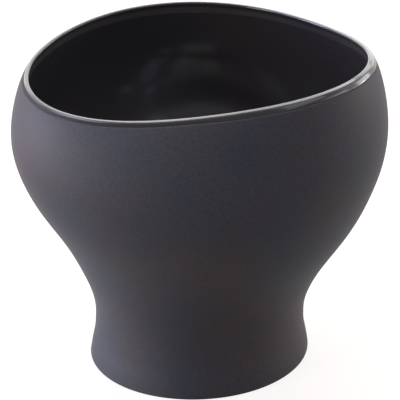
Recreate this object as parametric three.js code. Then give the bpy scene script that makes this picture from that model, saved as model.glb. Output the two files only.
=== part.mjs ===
// Soup bowl: a footed bowl of matt dark stoneware, glazed glossy black inside and over its lip.
// Sizes are in millimetres and +Z is up. The bowl stands on z = 0, centred on its width and depth.
// Level sections are lofted from a round foot, through a waist and a round belly, to a rim that is
// a little egg-shaped and wavy. The middle of the sections wanders off the foot's middle on the way up.
import * as THREE from "three";

// Foot: its radius just above the rounded edge, and the hollow under the bowl
const FOOT_RADIUS = 38.3;
const FOOT_SLOPE = 0.14;
const FOOT_EDGE = 0.8;
const FOOT_WALL = 3.8;
const HOLLOW_HEIGHT = 14;
const HOLLOW_DRAFT = 0.6;
const GUTTER_RISE = 4;
const GUTTER_CORNER = 3;

// Waist, belly and rim, each given from the one below it
const WAIST_INSET = 1.9;
const WAIST_HEIGHT = 16.2;
const BELLY_OUT = 26.2;
const FLANK_HEIGHT = 68.6;
const RIM_INSET = 5.9;
const RIM_SLOPE = 0.7;
const SHOULDER_HEIGHT = 23.7;

// How long each curve holds its direction at either end, as a share of the height it spans
const FOOT_HOLD = 0.53;
const WAIST_HOLD = 0.3;
const BELLY_HOLD = 0.38;
const SHOULDER_HOLD = 0.37;
const RIM_HOLD = 0.16;

// How far the sections' middle stands off the foot's middle, towards +X
const LEAN_AT_WAIST = 0.7;
const LEAN_LOW_ON_FLANK = 2.3;
const LEAN_AT_MID_FLANK = 4.4;
const LEAN_HIGH_ON_FLANK = 3.8;
const LEAN_AT_BELLY = 3.3;
const LEAN_AT_RIM = 3.9;

// The rim's departures from a level circle: the most they reach, and the direction they reach it in
const OVAL = { size: 1.9, degrees: -30 };
const EGG = { size: 2.5, degrees: -38 };
const TILT = { size: 2.1, degrees: -22 };
const WAVE = { size: 2.3, degrees: -46 };

// Wall and lip. The lip curls in to a narrow flat, which ends in a tighter edge. The flat is widest on
// the right, and below it the wall grows to its full thickness
const WALL = 2.8;
const LIP_CURL = 1.5;
const LIP_TURN = THREE.MathUtils.degToRad(40);
const LIP_FLAT = 0.4;
const LIP_WIDENING = { size: 0.3, degrees: 10 };
const LIP_EDGE = 0.6;
const LIP_TAPER = 3;

// Floor and glaze
const FLOOR_THICKNESS = 5;
const FLOOR_START = 0.28;
const FLOOR_CORNER = 11;
const FLOOR_FLAT = 22;
const GLAZE = 0.4;
const GLAZE_CLEARANCE = 0.3;
const GLAZE_DROP = 1.15;

// How finely the surfaces are divided: round the bowl, and along each stretch of its section
const AROUND = 60;
const HOLLOW_STEPS = 6;
const CORNER_STEPS = 3;
const EDGE_STEPS = 2;
const FOOT_STEPS = 4;
const FLANK_STEPS = 13;
const SHOULDER_STEPS = 6;
const CURL_STEPS = 2;
const LIP_EDGE_STEPS = 3;
const TAPER_STEPS = 3;
const INNER_STEPS = 12;
const FLOOR_STEPS = 7;
const NUDGE = 1e-4;

// Heights and radii that follow
const WAIST_RADIUS = FOOT_RADIUS - WAIST_INSET;
const BELLY_RADIUS = WAIST_RADIUS + BELLY_OUT;
const RIM_RADIUS = BELLY_RADIUS - RIM_INSET;
const BELLY_HEIGHT = WAIST_HEIGHT + FLANK_HEIGHT;
const RIM_HEIGHT = BELLY_HEIGHT + SHOULDER_HEIGHT;
const FLOOR_HEIGHT = HOLLOW_HEIGHT + FLOOR_THICKNESS;
const HOLLOW_RADIUS = WAIST_RADIUS - FOOT_WALL;

// Where the outside's curves meet, counted along them from the foot
const [FOOT, WAIST, BELLY, RIM] = Array(4).keys();

const PROFILE = outsideProfile();
const LEAN = leanOfSections();
const SHOULDER_LENGTH = PROFILE[BELLY].getLength();
const GLAZE_LINE = RIM - GLAZE_DROP / SHOULDER_LENGTH;
const CLAY_LINE = GLAZE_LINE - GLAZE_CLEARANCE / SHOULDER_LENGTH;
const CORE_TOP = RIM - LIP_TAPER / TAPER_STEPS / SHOULDER_LENGTH;

// Radius against height, as three curves that are upright where they meet
function outsideProfile() {
  const foot = new THREE.Vector2(FOOT_RADIUS, FOOT_EDGE);
  const waist = new THREE.Vector2(WAIST_RADIUS, WAIST_HEIGHT);
  const belly = new THREE.Vector2(BELLY_RADIUS, BELLY_HEIGHT);
  const rim = new THREE.Vector2(RIM_RADIUS, RIM_HEIGHT);
  const held = (point, rise, slope) => new THREE.Vector2(point.x - slope * rise, point.y + rise);
  const footCurve = new THREE.CubicBezierCurve(
    foot,
    held(foot, FOOT_HOLD * WAIST_HEIGHT, FOOT_SLOPE),
    held(waist, -FOOT_HOLD * WAIST_HEIGHT, 0),
    waist,
  );
  const flankCurve = new THREE.CubicBezierCurve(
    waist,
    held(waist, WAIST_HOLD * FLANK_HEIGHT, 0),
    held(belly, -BELLY_HOLD * FLANK_HEIGHT, 0),
    belly,
  );
  const shoulderCurve = new THREE.CubicBezierCurve(
    belly,
    held(belly, SHOULDER_HOLD * SHOULDER_HEIGHT, 0),
    held(rim, -RIM_HOLD * SHOULDER_HEIGHT, RIM_SLOPE),
    rim,
  );
  return [footCurve, flankCurve, shoulderCurve];
}

// The lean of the sections against height, through its named values
function leanOfSections() {
  const quarter = FLANK_HEIGHT / 4;
  const heights = [
    0,
    WAIST_HEIGHT,
    WAIST_HEIGHT + quarter,
    WAIST_HEIGHT + 2 * quarter,
    WAIST_HEIGHT + 3 * quarter,
    BELLY_HEIGHT,
    RIM_HEIGHT,
  ];
  const leans = [
    0,
    LEAN_AT_WAIST,
    LEAN_LOW_ON_FLANK,
    LEAN_AT_MID_FLANK,
    LEAN_HIGH_ON_FLANK,
    LEAN_AT_BELLY,
    LEAN_AT_RIM,
  ];
  return new THREE.CubicInterpolant(heights, leans, 1);
}

function leanAt(height) {
  return LEAN.evaluate(height)[0];
}

// A departure's amount at an angle, when it reaches its most `lobes` times round the bowl
function departure({ size, degrees }, lobes, angle) {
  return size * Math.cos(lobes * (angle - THREE.MathUtils.degToRad(degrees)));
}

function polar(angle, radius, height) {
  return new THREE.Vector3(radius * Math.cos(angle), radius * Math.sin(angle), height);
}

// The bowl's outside face. `along` runs from FOOT to RIM, and the departures grow from the waist up
function outside(angle, along) {
  const curve = Math.min(Math.floor(along), BELLY);
  const { x: radius, y: height } = PROFILE[curve].getPointAt(along - curve);
  const climbed = Math.max(height - WAIST_HEIGHT, 0) / (RIM_HEIGHT - WAIST_HEIGHT);
  const growth = climbed * climbed;
  const swell = departure(OVAL, 2, angle) + departure(EGG, 3, angle);
  const rise = departure(TILT, 1, angle) + departure(WAVE, 2, angle);
  const point = polar(angle, radius * (1 + (growth * swell) / RIM_RADIUS), height + growth * rise);
  point.x += leanAt(height);
  return point;
}

// The inside's bottom, from the wall at 0 round a soft corner to the middle of the floor at 1
function floor(angle, along) {
  const wall = station(outside, angle, WAIST + FLOOR_START);
  const start = wall.point.addScaledVector(wall.out, -WALL);
  const middle = new THREE.Vector3(leanAt(FLOOR_HEIGHT), 0, FLOOR_HEIGHT);
  return new THREE.CubicBezierCurve3(
    start,
    start.clone().addScaledVector(wall.onward, -FLOOR_CORNER),
    polar(angle, FLOOR_FLAT, 0).add(middle),
    middle,
  ).getPoint(along);
}

// A point of a face, with the directions out of the face and onward along it
function station(face, angle, along) {
  const before = Math.max(along - NUDGE, 0);
  const around = face(angle + NUDGE, along).sub(face(angle - NUDGE, along)).normalize();
  const step = face(angle, before + NUDGE).sub(face(angle, before));
  const out = around.clone().cross(step).normalize();
  const onward = out.clone().cross(around);
  return { point: face(angle, along), out, onward };
}

// A point `depth` behind a face
function behind(face, angle, along, depth) {
  const { point, out } = station(face, angle, along);
  return point.addScaledVector(out, -depth);
}

// The shares of a stretch at which its rings lie, without its start
function shares(steps) {
  return Array.from({ length: steps }, (_, i) => (i + 1) / steps);
}

// From the middle of the hollow under the bowl, over the gutter and round the foot ring
function underside(angle) {
  const crest = HOLLOW_RADIUS - GUTTER_CORNER;
  const gutterHeight = HOLLOW_HEIGHT + GUTTER_RISE;
  const bulge = new THREE.CubicBezierCurve(
    new THREE.Vector2(0, HOLLOW_HEIGHT),
    new THREE.Vector2(crest / 2, HOLLOW_HEIGHT),
    new THREE.Vector2(crest / 2, gutterHeight),
    new THREE.Vector2(crest, gutterHeight),
  );
  const points = [polar(angle, 0, HOLLOW_HEIGHT)];
  for (const share of shares(HOLLOW_STEPS)) {
    const { x, y } = bulge.getPoint(share);
    points.push(polar(angle, x, y));
  }
  for (const share of shares(CORNER_STEPS)) {
    const turn = (Math.PI / 2) * (1 - share);
    const radius = crest + GUTTER_CORNER * Math.cos(turn);
    points.push(polar(angle, radius, gutterHeight - GUTTER_CORNER + GUTTER_CORNER * Math.sin(turn)));
  }
  const innerEdge = HOLLOW_RADIUS + HOLLOW_DRAFT + FOOT_EDGE;
  for (const share of [0, ...shares(EDGE_STEPS)]) {
    const turn = Math.PI + (Math.PI / 2) * share;
    const radius = innerEdge + FOOT_EDGE * Math.cos(turn);
    points.push(polar(angle, radius, FOOT_EDGE + FOOT_EDGE * Math.sin(turn)));
  }
  const outerEdge = FOOT_RADIUS - FOOT_EDGE;
  for (const share of [0, ...shares(EDGE_STEPS)]) {
    const turn = -(Math.PI / 2) * (1 - share);
    const radius = outerEdge + FOOT_EDGE * Math.cos(turn);
    points.push(polar(angle, radius, FOOT_EDGE + FOOT_EDGE * Math.sin(turn)));
  }
  return points;
}

// Up the clay's outside, from the foot to just under the glaze
function flank(angle) {
  return [
    ...shares(FOOT_STEPS).map((share) => outside(angle, FOOT + share)),
    ...shares(FLANK_STEPS).map((share) => outside(angle, WAIST + share)),
    ...shares(SHOULDER_STEPS).map((share) => outside(angle, BELLY + share * (CLAY_LINE - BELLY))),
  ];
}

// The width of the lip's flat
function flatAt(angle) {
  return LIP_FLAT + departure(LIP_WIDENING, 1, angle);
}

// The wall's thickness, which grows smoothly from the lip's to the full one
function wallAt(angle, along) {
  const curl = LIP_CURL - (LIP_CURL - LIP_EDGE) * Math.cos(LIP_TURN);
  const lip = curl + flatAt(angle) * Math.sin(LIP_TURN) + LIP_EDGE;
  const below = Math.min(((RIM - along) * SHOULDER_LENGTH) / LIP_TAPER, 1);
  return WALL - (WALL - lip) * (1 - below) ** 2 * (1 + 2 * below);
}

// Over the lip, from the outside's face to the inside's, `depth` behind the glaze's face
function overLip(angle, depth) {
  const { point, out, onward } = station(outside, angle, RIM);
  const towards = (turn) =>
    out.clone().multiplyScalar(Math.cos(turn)).addScaledVector(onward, Math.sin(turn));
  const curl = point.clone().addScaledVector(out, -LIP_CURL);
  const edge = curl.clone();
  edge.addScaledVector(towards(LIP_TURN), LIP_CURL - LIP_EDGE);
  edge.addScaledVector(towards(LIP_TURN + Math.PI / 2), flatAt(angle));
  const points = [];
  for (const share of [0, ...shares(CURL_STEPS)]) {
    points.push(curl.clone().addScaledVector(towards(share * LIP_TURN), LIP_CURL - depth));
  }
  for (const share of [0, ...shares(LIP_EDGE_STEPS)]) {
    const turn = LIP_TURN + share * (Math.PI - LIP_TURN);
    points.push(edge.clone().addScaledVector(towards(turn), LIP_EDGE - depth));
  }
  return points;
}

// Down the inside, from just under the lip to the middle of the floor, `depth` behind the glaze's face
function inside(angle, depth) {
  const tapered = RIM - LIP_TAPER / SHOULDER_LENGTH;
  const wallEnd = WAIST + FLOOR_START;
  const down = [
    ...shares(TAPER_STEPS).map((share) => RIM + share * (tapered - RIM)),
    ...shares(INNER_STEPS).map((share) => tapered + share * (wallEnd - tapered)),
  ];
  return [
    ...down.map((along) => behind(outside, angle, along, wallAt(angle, along) - depth)),
    ...shares(FLOOR_STEPS).slice(0, -1).map((share) => behind(floor, angle, share, depth)),
    new THREE.Vector3(leanAt(FLOOR_HEIGHT), 0, FLOOR_HEIGHT - depth),
  ];
}

// A closed skin swept round the bowl by a path that starts and ends on its middle line
function sweep(path) {
  const paths = Array.from({ length: AROUND }, (_, i) => path((2 * Math.PI * i) / AROUND));
  const rings = paths[0].length - 2;
  const vertices = [paths[0][0], ...paths.flatMap((points) => points.slice(1, -1)), paths[0].at(-1)];
  const last = vertices.length - 1;
  const faces = [];
  for (let i = 0; i < AROUND; i++) {
    const here = 1 + i * rings;
    const next = 1 + ((i + 1) % AROUND) * rings;
    faces.push(0, next, here);
    for (let ring = 0; ring < rings - 1; ring++) {
      faces.push(here + ring, next + ring + 1, here + ring + 1);
      faces.push(here + ring, next + ring, next + ring + 1);
    }
    faces.push(here + rings - 1, next + rings - 1, last);
  }
  const geometry = new THREE.BufferGeometry().setFromPoints(vertices);
  geometry.setIndex(faces);
  geometry.computeVertexNormals();
  return geometry;
}

// The clay body: foot, belly and the core of the lip, cut back to leave room for the glaze. The core
// ends where the taper's first ring lies, because the lip above it is too thin to hold more
function bowlBody() {
  const clay = new THREE.MeshStandardMaterial({ color: 0x45454b, roughness: 0.75, metalness: 0 });
  const room = GLAZE + GLAZE_CLEARANCE;
  const path = (angle) => [
    ...underside(angle),
    ...flank(angle),
    behind(outside, angle, CLAY_LINE, room),
    behind(outside, angle, CORE_TOP, room),
    ...inside(angle, room),
  ];
  const mesh = new THREE.Mesh(sweep(path), clay);
  mesh.name = "bowl_body";
  return mesh;
}

// The glaze: a thin skin over the whole inside and the lip, ending in a line just outside it
function glazeLining() {
  const glaze = new THREE.MeshStandardMaterial({ color: 0x0d0d0e, roughness: 0.08, metalness: 0 });
  const face = (angle, depth) => [
    behind(outside, angle, GLAZE_LINE, depth),
    ...overLip(angle, depth),
    ...inside(angle, depth),
  ];
  const path = (angle) => [...face(angle, GLAZE).reverse(), ...face(angle, 0)];
  const mesh = new THREE.Mesh(sweep(path), glaze);
  mesh.name = "glaze_lining";
  return mesh;
}

const bowl = new THREE.Group();
bowl.add(bowlBody(), glazeLining());
const middle = new THREE.Box3().setFromObject(bowl).getCenter(new THREE.Vector3());
bowl.position.set(-middle.x, -middle.y, 0);

export default bowl;
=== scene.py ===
"""A soup bowl of matt dark stoneware, glazed glossy black inside and over its lip.

Both pieces are swept round the bowl from the CAD part's own sizes, in millimetres, with finer steps.
The clay comes up to the glaze's rounded edge just outside the lip, and goes on behind the glaze.
"""
import math

import bpy
import numpy as np
from mathutils import Matrix, Vector


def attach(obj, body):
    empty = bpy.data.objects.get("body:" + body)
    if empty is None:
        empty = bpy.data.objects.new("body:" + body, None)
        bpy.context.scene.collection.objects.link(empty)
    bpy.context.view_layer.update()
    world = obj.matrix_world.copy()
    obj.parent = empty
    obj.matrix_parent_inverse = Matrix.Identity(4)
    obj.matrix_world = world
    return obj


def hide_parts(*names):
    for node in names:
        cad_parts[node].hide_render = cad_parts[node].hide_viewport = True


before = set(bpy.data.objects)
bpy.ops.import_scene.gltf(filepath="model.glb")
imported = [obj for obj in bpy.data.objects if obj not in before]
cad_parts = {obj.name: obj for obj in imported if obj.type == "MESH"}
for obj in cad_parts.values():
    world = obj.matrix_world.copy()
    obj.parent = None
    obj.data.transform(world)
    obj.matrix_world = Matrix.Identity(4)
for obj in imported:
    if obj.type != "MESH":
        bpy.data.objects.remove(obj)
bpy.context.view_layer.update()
MM = 0.001

# Foot: its radius just above the rounded edge, and the hollow under the bowl
FOOT_RADIUS = 38.3
FOOT_SLOPE = 0.14
FOOT_EDGE = 0.8
FOOT_WALL = 3.8
HOLLOW_HEIGHT = 14
HOLLOW_DRAFT = 0.6
GUTTER_RISE = 4
GUTTER_CORNER = 3

# Waist, belly and rim, each given from the one below it
WAIST_INSET = 1.9
WAIST_HEIGHT = 16.2
BELLY_OUT = 26.2
FLANK_HEIGHT = 68.6
RIM_INSET = 5.9
RIM_SLOPE = 0.7
SHOULDER_HEIGHT = 23.7

# How long each curve holds its direction at either end, as a share of the height it spans
FOOT_HOLD = 0.53
WAIST_HOLD = 0.3
BELLY_HOLD = 0.38
SHOULDER_HOLD = 0.37
RIM_HOLD = 0.16

# How far the sections' middle stands off the foot's middle, towards +X: at the floor, at the waist,
# at each quarter of the flank, at the belly and at the rim
LEANS = np.array([0, 0.7, 2.3, 4.4, 3.8, 3.3, 3.9])

# The rim's departures from a level circle: the most they reach, and the direction they reach it in
OVAL = (1.9, -30)
EGG = (2.5, -38)
TILT = (2.1, -22)
WAVE = (2.3, -46)

# Wall and lip. The lip curls in to a narrow flat, which ends in a tighter edge. The flat is widest on
# the right, and below it the wall grows to its full thickness
WALL = 2.8
LIP_CURL = 1.5
LIP_TURN = math.radians(40)
LIP_FLAT = 0.4
LIP_WIDENING = (0.3, 10)
LIP_EDGE = 0.6
LIP_TAPER = 3

# Floor: its thickness, the share of the flank at which its soft corner starts, and how long that
# corner holds the direction of the wall and of the floor
FLOOR_THICKNESS = 5
FLOOR_START = 0.28
FLOOR_CORNER = 11
FLOOR_FLAT = 22

# Glaze: its thickness, how deep the clay lies under its face, how far down it goes outside the lip,
# the rounding of its edge, and the gap from there to the clay's face
GLAZE = 0.4
GLAZE_SEAT = 0.45
GLAZE_DROP = 1.15
GLAZE_BEAD = 0.22
CLAY_GAP = 0.03

# How the glaze's wiped edge wanders: how far, how many times round the bowl, and from which phase
GLAZE_WANDER = ((0.2, 1, -0.35), (0.08, 7, 2.1), (0.05, 16, 4))

# The mark on the glaze's thin margin: half of its swing round the bowl, its phase, and its limits
MARGIN_SWING = 0.9
MARGIN_PHASE = 0.35
MARGIN_LIMITS = (0.25, 1)

# Heights and radii that follow
WAIST_RADIUS = FOOT_RADIUS - WAIST_INSET
BELLY_RADIUS = WAIST_RADIUS + BELLY_OUT
RIM_RADIUS = BELLY_RADIUS - RIM_INSET
BELLY_HEIGHT = WAIST_HEIGHT + FLANK_HEIGHT
RIM_HEIGHT = BELLY_HEIGHT + SHOULDER_HEIGHT
FLOOR_HEIGHT = HOLLOW_HEIGHT + FLOOR_THICKNESS
HOLLOW_RADIUS = WAIST_RADIUS - FOOT_WALL
FLANK_LEVELS = WAIST_HEIGHT + FLANK_HEIGHT * np.linspace(0, 1, len(LEANS) - 2)
LEAN_HEIGHTS = np.concatenate([[0], FLANK_LEVELS, [RIM_HEIGHT]])

# Where the outside's curves meet, counted along them from the foot
FOOT, WAIST, BELLY, RIM = range(4)

# How many steps the surfaces are divided into, round the bowl and along each stretch of its section
AROUND = 256
HOLLOW_STEPS = 40
GUTTER_STEPS = 10
HOLLOW_SIDE_STEPS = 12
FOOT_EDGE_STEPS = 8
FOOT_STEPS = 24
FLANK_STEPS = 72
SHOULDER_STEPS = 36
BEAD_STEPS = 8
CURL_STEPS = 8
LIP_EDGE_STEPS = 16
TAPER_STEPS = 12
INSIDE_STEPS = 84
FLOOR_STEPS = 40
TURNS = np.linspace(0, 2 * math.pi, AROUND, endpoint=False)[:, None]

# The steps that a curve's length is added up from, the levels at which the bowl's width and depth are
# measured, and the small move that finds a face's directions
LENGTH_STEPS = 1000
MEASURED_LEVELS = 200
NUDGE = 1e-4


def bezier(corners, share):
    """Points of a cubic Bezier curve at each share of its parameter."""
    t = np.asarray(share, float)[..., None]
    a, b, c, d = corners
    return a * (1 - t) ** 3 + 3 * b * t * (1 - t) ** 2 + 3 * c * t**2 * (1 - t) + d * t**3


class Curve:
    """A cubic Bezier curve in radius and height, with its points found by the share of its length."""

    def __init__(self, *corners):
        self.corners = [np.array(corner, float) for corner in corners]
        self.shares = np.linspace(0, 1, LENGTH_STEPS + 1)
        steps = np.diff(bezier(self.corners, self.shares), axis=0)
        self.travelled = np.append(0, np.cumsum(np.linalg.norm(steps, axis=1)))
        self.length = self.travelled[-1]

    def at(self, share):
        """The point at a share of the curve's length."""
        travelled = np.asarray(share) * self.length
        return bezier(self.corners, np.interp(travelled, self.travelled, self.shares))


def held(point, rise, slope=0):
    """The corner that holds a curve's direction over a rise from one of its ends."""
    return (point[0] - slope * rise, point[1] + rise)


def outside_profile():
    """Radius against height, as three curves that are upright where they meet."""
    foot = (FOOT_RADIUS, FOOT_EDGE)
    waist = (WAIST_RADIUS, WAIST_HEIGHT)
    belly = (BELLY_RADIUS, BELLY_HEIGHT)
    rim = (RIM_RADIUS, RIM_HEIGHT)
    foot_end = held(foot, FOOT_HOLD * WAIST_HEIGHT, FOOT_SLOPE)
    belly_start = held(belly, -BELLY_HOLD * FLANK_HEIGHT)
    rim_end = held(rim, -RIM_HOLD * SHOULDER_HEIGHT, RIM_SLOPE)
    return [
        Curve(foot, foot_end, held(waist, -FOOT_HOLD * WAIST_HEIGHT), waist),
        Curve(waist, held(waist, WAIST_HOLD * FLANK_HEIGHT), belly_start, belly),
        Curve(belly, held(belly, SHOULDER_HOLD * SHOULDER_HEIGHT), rim_end, rim),
    ]


PROFILE = outside_profile()
SHOULDER_LENGTH = PROFILE[BELLY].length


def lean_at(height):
    """The lean of the sections at a height, on a smooth curve through LEANS."""
    spans = np.diff(LEAN_HEIGHTS)
    chords = np.diff(LEANS) / spans
    slopes = np.concatenate([chords[:1], (chords[1:] + chords[:-1]) / 2, chords[-1:]])
    k = np.clip(np.searchsorted(LEAN_HEIGHTS, height, side="right") - 1, 0, len(spans) - 1)
    t = (height - LEAN_HEIGHTS[k]) / spans[k]
    ends = LEANS[k] * (1 + 2 * t) * (1 - t) ** 2 + LEANS[k + 1] * t**2 * (3 - 2 * t)
    return ends + spans[k] * (slopes[k] * t * (1 - t) ** 2 - slopes[k + 1] * t**2 * (1 - t))


FLOOR_MIDDLE = np.array([lean_at(FLOOR_HEIGHT), 0, FLOOR_HEIGHT])


def departure(amount, lobes, angle):
    """A departure's amount at an angle, when it reaches its most that many times round the bowl."""
    size, degrees = amount
    return size * np.cos(lobes * (angle - math.radians(degrees)))


def polar(angle, radius, height, lean=0):
    """Points given by angle, radius and height, about a middle that may lean towards +X."""
    x = radius * np.cos(angle) + lean
    return np.stack(np.broadcast_arrays(x, radius * np.sin(angle), height), -1)


def outside(angle, along):
    """Points of the outside face. Along runs from FOOT to RIM.

    The departures from a circle grow with the square of the height over the waist.
    """
    start = np.clip(np.floor(along), FOOT, BELLY).astype(int)
    points = np.choose(start[..., None], [curve.at(along - k) for k, curve in enumerate(PROFILE)])
    radius, height = points[..., 0], points[..., 1]
    growth = (np.maximum(height - WAIST_HEIGHT, 0) / (RIM_HEIGHT - WAIST_HEIGHT)) ** 2
    swell = departure(OVAL, 2, angle) + departure(EGG, 3, angle)
    rise = departure(TILT, 1, angle) + departure(WAVE, 2, angle)
    swollen = radius * (1 + growth * swell / RIM_RADIUS)
    return polar(angle, swollen, height + growth * rise, lean_at(height))


def unit(vectors):
    """The vectors' directions."""
    return vectors / np.linalg.norm(vectors, axis=-1, keepdims=True)


def station(face, angle, along):
    """A face's points, with the directions out of it and onward along it."""
    around = unit(face(angle + NUDGE, along) - face(angle - NUDGE, along))
    ahead = face(angle, along + NUDGE) - face(angle, along - NUDGE)
    out = unit(np.cross(around, ahead))
    return face(angle, along), out, np.cross(out, around)


def behind(face, angle, along, depth):
    """Points that lie a depth behind a face."""
    points, out, _ = station(face, angle, along)
    return points - np.asarray(depth, float)[..., None] * out


def floor(angle, along):
    """The inside's bottom, from the wall at 0 round a soft corner to the middle of the floor at 1."""
    wall, out, onward = station(outside, angle, np.full_like(angle, WAIST + FLOOR_START))
    start = wall - WALL * out
    flat_start = polar(angle, FLOOR_FLAT, 0) + FLOOR_MIDDLE
    return bezier((start, start - FLOOR_CORNER * onward, flat_start, FLOOR_MIDDLE), along)


def stretch(start, end, steps):
    """Even steps from a start to an end, without the start."""
    return start + (end - start) * np.arange(1, steps + 1) / steps


def arc(centre, radius, start, end, steps):
    """Points in radius and height on an arc, between two angles in degrees."""
    turn = np.radians(np.linspace(start, end, steps + 1))
    return np.stack([centre[0] + radius * np.cos(turn), centre[1] + radius * np.sin(turn)], -1)


def underside():
    """From the hollow's middle, over its gutter and round the foot ring's two soft edges."""
    crest = HOLLOW_RADIUS - GUTTER_CORNER
    gutter_height = HOLLOW_HEIGHT + GUTTER_RISE
    side_top = gutter_height - GUTTER_CORNER
    side_foot = HOLLOW_RADIUS + HOLLOW_DRAFT
    bulge_heights = (HOLLOW_HEIGHT, HOLLOW_HEIGHT, gutter_height, gutter_height)
    bulge = np.stack([(0, crest / 2, crest / 2, crest), bulge_heights], -1)
    side = [(HOLLOW_RADIUS, side_top), (side_foot, FOOT_EDGE)]
    drawn = np.concatenate([
        bezier(bulge, stretch(0, 1, HOLLOW_STEPS)),
        arc((crest, side_top), GUTTER_CORNER, 90, 0, GUTTER_STEPS)[1:],
        np.linspace(*side, HOLLOW_SIDE_STEPS + 1)[1:-1],
        arc((side_foot + FOOT_EDGE, FOOT_EDGE), FOOT_EDGE, 180, 270, FOOT_EDGE_STEPS),
        arc((FOOT_RADIUS - FOOT_EDGE, FOOT_EDGE), FOOT_EDGE, -90, 0, FOOT_EDGE_STEPS),
    ])
    return polar(TURNS, drawn[:, 0], drawn[:, 1])


def glaze_line():
    """Where the glaze ends on the outside: a wiped edge, which wanders a little up and down."""
    wander = sum(far * np.cos(times * TURNS + phase) for far, times, phase in GLAZE_WANDER)
    return RIM - (GLAZE_DROP + wander) / SHOULDER_LENGTH


def flank(top):
    """Up the clay's outside, from the foot to the top that each angle has."""
    return np.concatenate([
        outside(TURNS, stretch(FOOT, WAIST, FOOT_STEPS)),
        outside(TURNS, stretch(WAIST, BELLY, FLANK_STEPS)),
        outside(TURNS, stretch(BELLY, top, SHOULDER_STEPS)),
    ], axis=1)


def flat_at(angle):
    """The width of the lip's flat."""
    return LIP_FLAT + departure(LIP_WIDENING, 1, angle)


def wall_at(angle, along):
    """The wall's thickness, which grows smoothly from the lip's to the full one."""
    curl = LIP_CURL - (LIP_CURL - LIP_EDGE) * math.cos(LIP_TURN)
    lip = curl + flat_at(angle) * math.sin(LIP_TURN) + LIP_EDGE
    below = np.clip((RIM - along) * SHOULDER_LENGTH / LIP_TAPER, 0, 1)
    return WALL - (WALL - lip) * (1 - below) ** 2 * (1 + 2 * below)


def lining(depth):
    """Over the lip and down the inside, to a step before the middle of the floor."""
    lip, out, onward = station(outside, TURNS, np.full_like(TURNS, RIM))

    def towards(turn):
        """The direction that is turned in from straight out by this angle."""
        return out * np.cos(turn) + onward * np.sin(turn)

    curl = lip - LIP_CURL * out
    flat = flat_at(TURNS)[..., None] * towards(LIP_TURN + math.pi / 2)
    edge = curl + (LIP_CURL - LIP_EDGE) * towards(LIP_TURN) + flat
    curl_turns = np.linspace(0, LIP_TURN, CURL_STEPS + 1)[:, None]
    edge_turns = np.linspace(LIP_TURN, math.pi, LIP_EDGE_STEPS + 1)[:, None]
    tapered = RIM - LIP_TAPER / SHOULDER_LENGTH
    down = np.concatenate([
        stretch(RIM, tapered, TAPER_STEPS),
        stretch(tapered, WAIST + FLOOR_START, INSIDE_STEPS),
    ])
    return np.concatenate([
        curl + (LIP_CURL - depth) * towards(curl_turns),
        edge + (LIP_EDGE - depth) * towards(edge_turns),
        behind(outside, TURNS, down, wall_at(TURNS, down) - depth),
        behind(floor, TURNS, stretch(0, 1, FLOOR_STEPS)[:-1], depth),
    ], axis=1)


def glaze_bead(line):
    """The glaze's rounded edge on the outside, from the clay's seat out to the glaze's face."""
    turn = np.linspace(0, math.pi / 2, BEAD_STEPS + 1)
    along = line + GLAZE_BEAD * (1 - np.cos(turn)) / SHOULDER_LENGTH
    return behind(outside, TURNS, along, GLAZE_BEAD * (1 - np.sin(turn)))


def new_object(name, points, faces):
    """An object in the scene, with a mesh of these points and faces."""
    mesh = bpy.data.meshes.new(name)
    mesh.from_pydata(points, [], faces)
    piece = bpy.data.objects.new(name, mesh)
    bpy.context.scene.collection.objects.link(piece)
    return piece


def skin(name, rows, first, last):
    """A closed piece from a row of points at each turn, and the two middle points that end the rows."""
    turns, count = rows.shape[:2]
    points = np.concatenate([[first], rows.reshape(-1, 3), [last]])
    here = 1 + np.arange(turns)[:, None] * count + np.arange(count)
    beside = np.roll(here, -1, axis=0)
    quads = np.stack([here[:, :-1], beside[:, :-1], beside[:, 1:], here[:, 1:]], -1).reshape(-1, 4)
    first_fan = [(0, b, a) for a, b in zip(here[:, 0], beside[:, 0])]
    last_fan = [(a, b, len(points) - 1) for a, b in zip(here[:, -1], beside[:, -1])]
    piece = new_object(name, (points - MIDDLE) * MM, quads.tolist() + first_fan + last_fan)
    piece.data.shade_smooth()
    return piece


# The middle of the bowl's overall width and depth stands over the frame's origin
MEASURED = outside(TURNS, np.linspace(WAIST, RIM, MEASURED_LEVELS))
MIDDLE = (MEASURED.min((0, 1)) + MEASURED.max((0, 1))) / 2 * (1, 1, 0)


def clay_body():
    """The clay, from the hollow's middle up its outside, and down behind the glaze to the floor."""
    line = glaze_line()
    seat = behind(outside, TURNS, line, GLAZE_SEAT)
    rows = [underside(), flank(line - CLAY_GAP / SHOULDER_LENGTH), seat, lining(GLAZE_SEAT)]
    low = FLOOR_MIDDLE - (0, 0, GLAZE_SEAT)
    return skin("clay_body", np.concatenate(rows, axis=1), (0, 0, HOLLOW_HEIGHT), low)


def glaze_skin():
    """The glaze, from its back on the clay round its edge, over the lip and down to the floor.

    Its thin margin, from its edge to where the lip starts to curl in, carries a mark for the material.
    The mark is strongest on the left, where the margin is thinnest.
    """
    line = glaze_line()
    back = np.concatenate([behind(outside, TURNS, line, GLAZE), lining(GLAZE)], axis=1)[:, ::-1]
    bead = glaze_bead(line)
    rows = np.concatenate([back, bead, lining(0)], axis=1)
    piece = skin("black_glaze", rows, FLOOR_MIDDLE - (0, 0, GLAZE), FLOOR_MIDDLE)
    thin = np.zeros(rows.shape[:2])
    margin = slice(back.shape[1], back.shape[1] + bead.shape[1] + 1)
    swing = MARGIN_SWING - MARGIN_SWING * np.cos(TURNS + MARGIN_PHASE)
    thin[:, margin] = np.clip(swing, *MARGIN_LIMITS)
    mark = piece.data.attributes.new("thin", "FLOAT", "POINT")
    mark.data.foreach_set("value", [0, *thin.ravel(), 0])
    return piece


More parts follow.
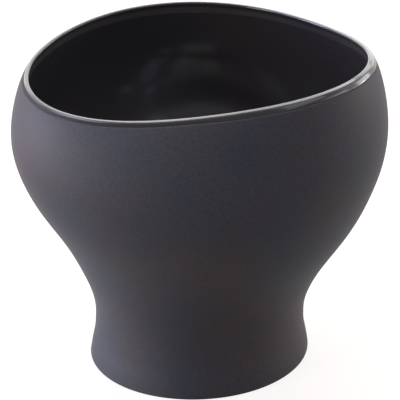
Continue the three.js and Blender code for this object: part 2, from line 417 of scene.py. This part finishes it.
def linear(colour):
    """A colour written as sRGB hex, in the linear values that the nodes take."""
    shares = [int(colour[i:i + 2], 16) / 255 for i in (1, 3, 5)]
    # These numbers are the sRGB standard's own
    return [s / 12.92 if s <= 0.04045 else ((s + 0.055) / 1.055) ** 2.4 for s in shares] + [1]


def add_node(tree, kind, inputs, **settings):
    """Adds a node with these settings. Each input gets a value, or a link from another's output."""
    node = tree.nodes.new(kind)
    for name, value in settings.items():
        setattr(node, name, value)
    for name, value in inputs.items():
        if isinstance(value, bpy.types.NodeSocket):
            tree.links.new(value, node.inputs[name])
        else:
            node.inputs[name].default_value = value
    return node


# The sockets of a Mix node that take its two colours, and the one that gives the result
FROM_COLOUR, TO_COLOUR, MIXED_COLOUR = 6, 7, 2


def new_material(name):
    """An empty node material, and its node tree."""
    material = bpy.data.materials.new(name)
    material.use_nodes = True
    material.node_tree.nodes.clear()
    return material, material.node_tree


def noise(tree, place, size_mm, detail, roughness=0.5):
    """Soft random patches of about the size given."""
    inputs = {"Vector": place, "Scale": 1 / (size_mm * MM), "Detail": detail, "Roughness": roughness}
    return add_node(tree, "ShaderNodeTexNoise", inputs).outputs["Fac"]


def unglazed_stoneware():
    """Cast stoneware, stained dark in the body and left bare.

    The fired clay has a dry, even grain that scatters light, so it looks matt with a faint satin
    sheen towards its edges. The slip settled unevenly in the mould, which leaves cooler and warmer
    patches a few centimetres wide.
    """
    material, tree = new_material("unglazed_stoneware")
    place = add_node(tree, "ShaderNodeTexCoord", {}).outputs["Object"]
    patches = noise(tree, place, size_mm=34, detail=3)
    # The real grain is finer than a fifth of a millimetre. It is drawn as coarse as it needs to show
    grain = noise(tree, place, size_mm=0.8, detail=4, roughness=0.65)
    # Noise seldom reaches 0 or 1, so its middle values are spread over both mixes
    settled = add_node(tree, "ShaderNodeMapRange", {
        "Value": patches,
        "From Min": 0.35,
        "From Max": 0.65,
    })
    flecks = add_node(tree, "ShaderNodeMapRange", {"Value": grain, "From Min": 0.3, "From Max": 0.7})
    body = add_node(tree, "ShaderNodeMix", {
        "Factor": settled.outputs["Result"],
        FROM_COLOUR: linear("#3b3e45"),
        TO_COLOUR: linear("#443f41"),
    }, data_type="RGBA")
    speckled = add_node(tree, "ShaderNodeMix", {
        "Factor": flecks.outputs["Result"],
        FROM_COLOUR: linear("#d6d6d6"),
        TO_COLOUR: linear("#ffffff"),
    }, data_type="RGBA")
    colour = add_node(tree, "ShaderNodeMix", {
        "Factor": 1,
        FROM_COLOUR: body.outputs[MIXED_COLOUR],
        TO_COLOUR: speckled.outputs[MIXED_COLOUR],
    }, data_type="RGBA", blend_type="MULTIPLY")
    roughness = add_node(tree, "ShaderNodeMapRange", {"Value": grain, "To Min": 0.52, "To Max": 0.66})
    bump = add_node(tree, "ShaderNodeBump", {"Height": grain, "Strength": 0.45, "Distance": 0.08 * MM})
    surface = add_node(tree, "ShaderNodeBsdfPrincipled", {
        "Base Color": colour.outputs[MIXED_COLOUR],
        "Roughness": roughness.outputs["Result"],
        "IOR": 1.5,
        "Specular IOR Level": 0.11,
        "Normal": bump.outputs["Normal"],
    })
    add_node(tree, "ShaderNodeOutputMaterial", {"Surface": surface.outputs["BSDF"]})
    return material


def glossy_black_glaze():
    """A black glaze, melted to glass in the kiln.

    Its clear top flowed smooth as it melted, so it mirrors the lamps with only a slight softness, and
    the long shallow waves that it froze into bend those reflections a little. Fine black pigment under
    the top gives back a dull, even glow. In its margin outside the lip the glaze ran thin as it sank
    down, and stays matt and brownish, which draws a dark line round the lip.
    """
    material, tree = new_material("glossy_black_glaze")
    place = add_node(tree, "ShaderNodeTexCoord", {}).outputs["Object"]
    waves = noise(tree, place, size_mm=9, detail=1)
    depth = noise(tree, place, size_mm=26, detail=2)
    pigment = add_node(tree, "ShaderNodeMix", {
        "Factor": depth,
        FROM_COLOUR: linear("#2c2c2f"),
        TO_COLOUR: linear("#373131"),
    }, data_type="RGBA")
    roughness = add_node(tree, "ShaderNodeMapRange", {"Value": depth, "To Min": 0.5, "To Max": 0.6})
    bump = add_node(tree, "ShaderNodeBump", {"Height": waves, "Strength": 0.3, "Distance": 0.04 * MM})
    thin = add_node(tree, "ShaderNodeAttribute", {}, attribute_name="thin").outputs["Fac"]
    colour = add_node(tree, "ShaderNodeMix", {
        "Factor": thin,
        FROM_COLOUR: pigment.outputs[MIXED_COLOUR],
        TO_COLOUR: linear("#282222"),
    }, data_type="RGBA")
    clear_top = add_node(tree, "ShaderNodeMapRange", {"Value": thin, "To Min": 1, "To Max": 0})
    surface = add_node(tree, "ShaderNodeBsdfPrincipled", {
        "Base Color": colour.outputs[MIXED_COLOUR],
        "Roughness": roughness.outputs["Result"],
        "IOR": 1.5,
        "Specular IOR Level": 0.1,
        "Normal": bump.outputs["Normal"],
        "Coat Weight": clear_top.outputs["Result"],
        "Coat Roughness": 0.13,
        "Coat IOR": 1.5,
        "Coat Normal": bump.outputs["Normal"],
    })
    add_node(tree, "ShaderNodeOutputMaterial", {"Surface": surface.outputs["BSDF"]})
    return material


def seen_directly(tree):
    """1 for the rays that show the background itself: to the camera, or in gloss or glass."""
    path = add_node(tree, "ShaderNodeLightPath", {})
    gloss = add_node(tree, "ShaderNodeMath", {
        0: path.outputs["Is Camera Ray"],
        1: path.outputs["Is Glossy Ray"],
    }, operation="MAXIMUM")
    return add_node(tree, "ShaderNodeMath", {
        0: gloss.outputs["Value"],
        1: path.outputs["Is Transmission Ray"],
    }, operation="MAXIMUM").outputs["Value"]


# Studio sizes in metres: how far the floor and the cloth reach, and the point that the lamps face
STUDIO_REACH = 3
CLOTH_FRONT = 1.6
CLOTH_BACK = 0.1
CLOTH_HEIGHT = 1.4
LIT_POINT = Vector((0, 0, 0.06))

# How brightly the floor glows where it is seen, and the world's light on the bowl
FLOOR_GLOW = 0.84
AMBIENT = 0.02

# Each lamp's name, azimuth and elevation in degrees, width and height in metres, watts and colour.
# Small bright ones stand on the left, wide ones behind, and weak fill in front and on the right
LAMPS = (
    ("left", -106, 10, 0.3, 0.3, 5.6, "#b6c8ff"),
    ("left_low", -95, 2, 0.5, 0.12, 11.4, "#f0eef2"),
    ("left_front", -60, 15, 0.4, 0.4, 5.2, "#f6f2f4"),
    ("left_high", -95, 42, 0.4, 0.4, 3.4, "#c8d4ff"),
    ("left_back", -135, 20, 0.6, 0.6, 0.8, "#ffffff"),
    ("back_low", 180, 8, 1.5, 0.3, 1.7, "#ffffff"),
    ("back", 180, 28, 1.3, 0.3, 2.4, "#ffffff"),
    ("back_high", 180, 50, 1.0, 0.35, 5.7, "#ffffff"),
    ("back_top", 180, 72, 0.8, 0.35, 4.8, "#ffffff"),
    ("right_front", 52, 42, 0.6, 0.5, 2.2, "#e8eeff"),
    ("right_back", 118, 8, 0.4, 0.4, 2.5, "#f0f4ff"),
    ("right", 80, 8, 0.4, 0.4, 1.6, "#eef3ff"),
    ("right_low", 104, 2, 0.5, 0.12, 3.4, "#ffe8d0"),
)


def studio_floor():
    """Grey board that is seen as white by its glow, and keeps the bowl's shadow."""
    sides = ((-1, -1), (1, -1), (1, 1), (-1, 1))
    corners = [(x * STUDIO_REACH, y * STUDIO_REACH, 0) for x, y in sides]
    board = new_object("studio_floor", corners, [(0, 1, 2, 3)])
    material, tree = new_material("painted_board")
    paint = add_node(tree, "ShaderNodeBsdfDiffuse", {"Color": linear("#847870")})
    glow = add_node(tree, "ShaderNodeMath", {
        0: seen_directly(tree),
        1: FLOOR_GLOW,
    }, operation="MULTIPLY")
    light = add_node(tree, "ShaderNodeEmission", {
        "Color": linear("#ffffff"),
        "Strength": glow.outputs["Value"],
    })
    both = add_node(tree, "ShaderNodeAddShader", {
        0: paint.outputs["BSDF"],
        1: light.outputs["Emission"],
    })
    add_node(tree, "ShaderNodeOutputMaterial", {"Surface": both.outputs["Shader"]})
    # The glow lights nothing, so it isn't sampled as a lamp
    material.cycles.emission_sampling = "NONE"
    board.data.materials.append(material)


def grey_cloth():
    """Cloth that hangs over the bowl and in front of it, so that gloss finds no white there."""
    edge = [(-CLOTH_FRONT, 0), (-CLOTH_FRONT, CLOTH_HEIGHT), (CLOTH_BACK, CLOTH_HEIGHT)]
    corners = [(side * STUDIO_REACH, y, z) for side in (-1, 1) for y, z in edge]
    cloth = new_object("grey_cloth", corners, [(0, 1, 4, 3), (1, 2, 5, 4)])
    material, tree = new_material("grey_cloth")
    weave = add_node(tree, "ShaderNodeBsdfDiffuse", {"Color": linear("#e0e0e0")})
    add_node(tree, "ShaderNodeOutputMaterial", {"Surface": weave.outputs["BSDF"]})
    cloth.data.materials.append(material)
    cloth.visible_camera = False


def studio_world():
    """White all round where it is seen, and nearly dark for the light that falls on the bowl."""
    world = bpy.data.worlds.new("studio")
    bpy.context.scene.world = world
    world.use_nodes = True
    tree = world.node_tree
    tree.nodes.clear()
    strength = add_node(tree, "ShaderNodeMapRange", {
        "Value": seen_directly(tree),
        "To Min": AMBIENT,
        "To Max": 1,
    })
    light = add_node(tree, "ShaderNodeBackground", {
        "Color": linear("#ffffff"),
        "Strength": strength.outputs["Result"],
    })
    add_node(tree, "ShaderNodeOutputWorld", {"Surface": light.outputs["Background"]})
    # Its light on the bowl is even and weak, so it isn't sampled as a lamp
    world.cycles.sampling_method = "NONE"


def softbox(name, azimuth, elevation, width, height, watts, colour):
    """A rectangular lamp, a metre off the bowl. Azimuth 0 is in front of it, and 90 on the right."""
    lamp = bpy.data.lights.new(name, "AREA")
    lamp.shape = "RECTANGLE"
    lamp.size = width
    lamp.size_y = height
    lamp.energy = watts
    lamp.color = linear(colour)[:3]
    stand = bpy.data.objects.new(name, lamp)
    turn, climb = math.radians(azimuth), math.radians(elevation)
    level = Vector((math.sin(turn), -math.cos(turn), 0))
    away = level * math.cos(climb) + Vector((0, 0, math.sin(climb)))
    stand.location = LIT_POINT + away
    stand.rotation_euler = away.to_track_quat("Z", "Y").to_euler()
    stand.visible_camera = False
    bpy.context.scene.collection.objects.link(stand)


# The camera looks down on the bowl, with a slight roll. Its distance is in metres, its lens and its aim
# in millimetres
CAMERA_DOWN = math.radians(24.97)
CAMERA_ROLL = math.radians(2.2)
CAMERA_DISTANCE = 0.8
CAMERA_LENS = 209.71
CAMERA_AIM = Vector((-0.58, -1.24, 56.96)) * MM


def add_camera():
    """The camera, in front of the bowl and above it."""
    forward = Vector((0, math.cos(CAMERA_DOWN), -math.sin(CAMERA_DOWN)))
    level = Vector((1, 0, 0))
    upright = level.cross(forward)
    right = level * math.cos(CAMERA_ROLL) - upright * math.sin(CAMERA_ROLL)
    up = level * math.sin(CAMERA_ROLL) + upright * math.cos(CAMERA_ROLL)
    camera = bpy.data.objects.new("camera", bpy.data.cameras.new("camera"))
    camera.data.lens = CAMERA_LENS
    camera.matrix_world = Matrix((right, up, -forward)).transposed().to_4x4()
    camera.location = CAMERA_AIM - CAMERA_DISTANCE * forward
    bpy.context.scene.collection.objects.link(camera)
    bpy.context.scene.camera = camera


def dress(piece, material, node):
    """Puts a piece in the place of its CAD node, in its own material."""
    piece.data.materials.append(material)
    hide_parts(node)
    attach(piece, "root")


add_camera()
studio_world()
for lamp in LAMPS:
    softbox(*lamp)
studio_floor()
grey_cloth()
dress(clay_body(), unglazed_stoneware(), "bowl_body")
dress(glaze_skin(), glossy_black_glaze(), "glaze_lining")
bpy.context.scene.view_settings.view_transform = "Standard"
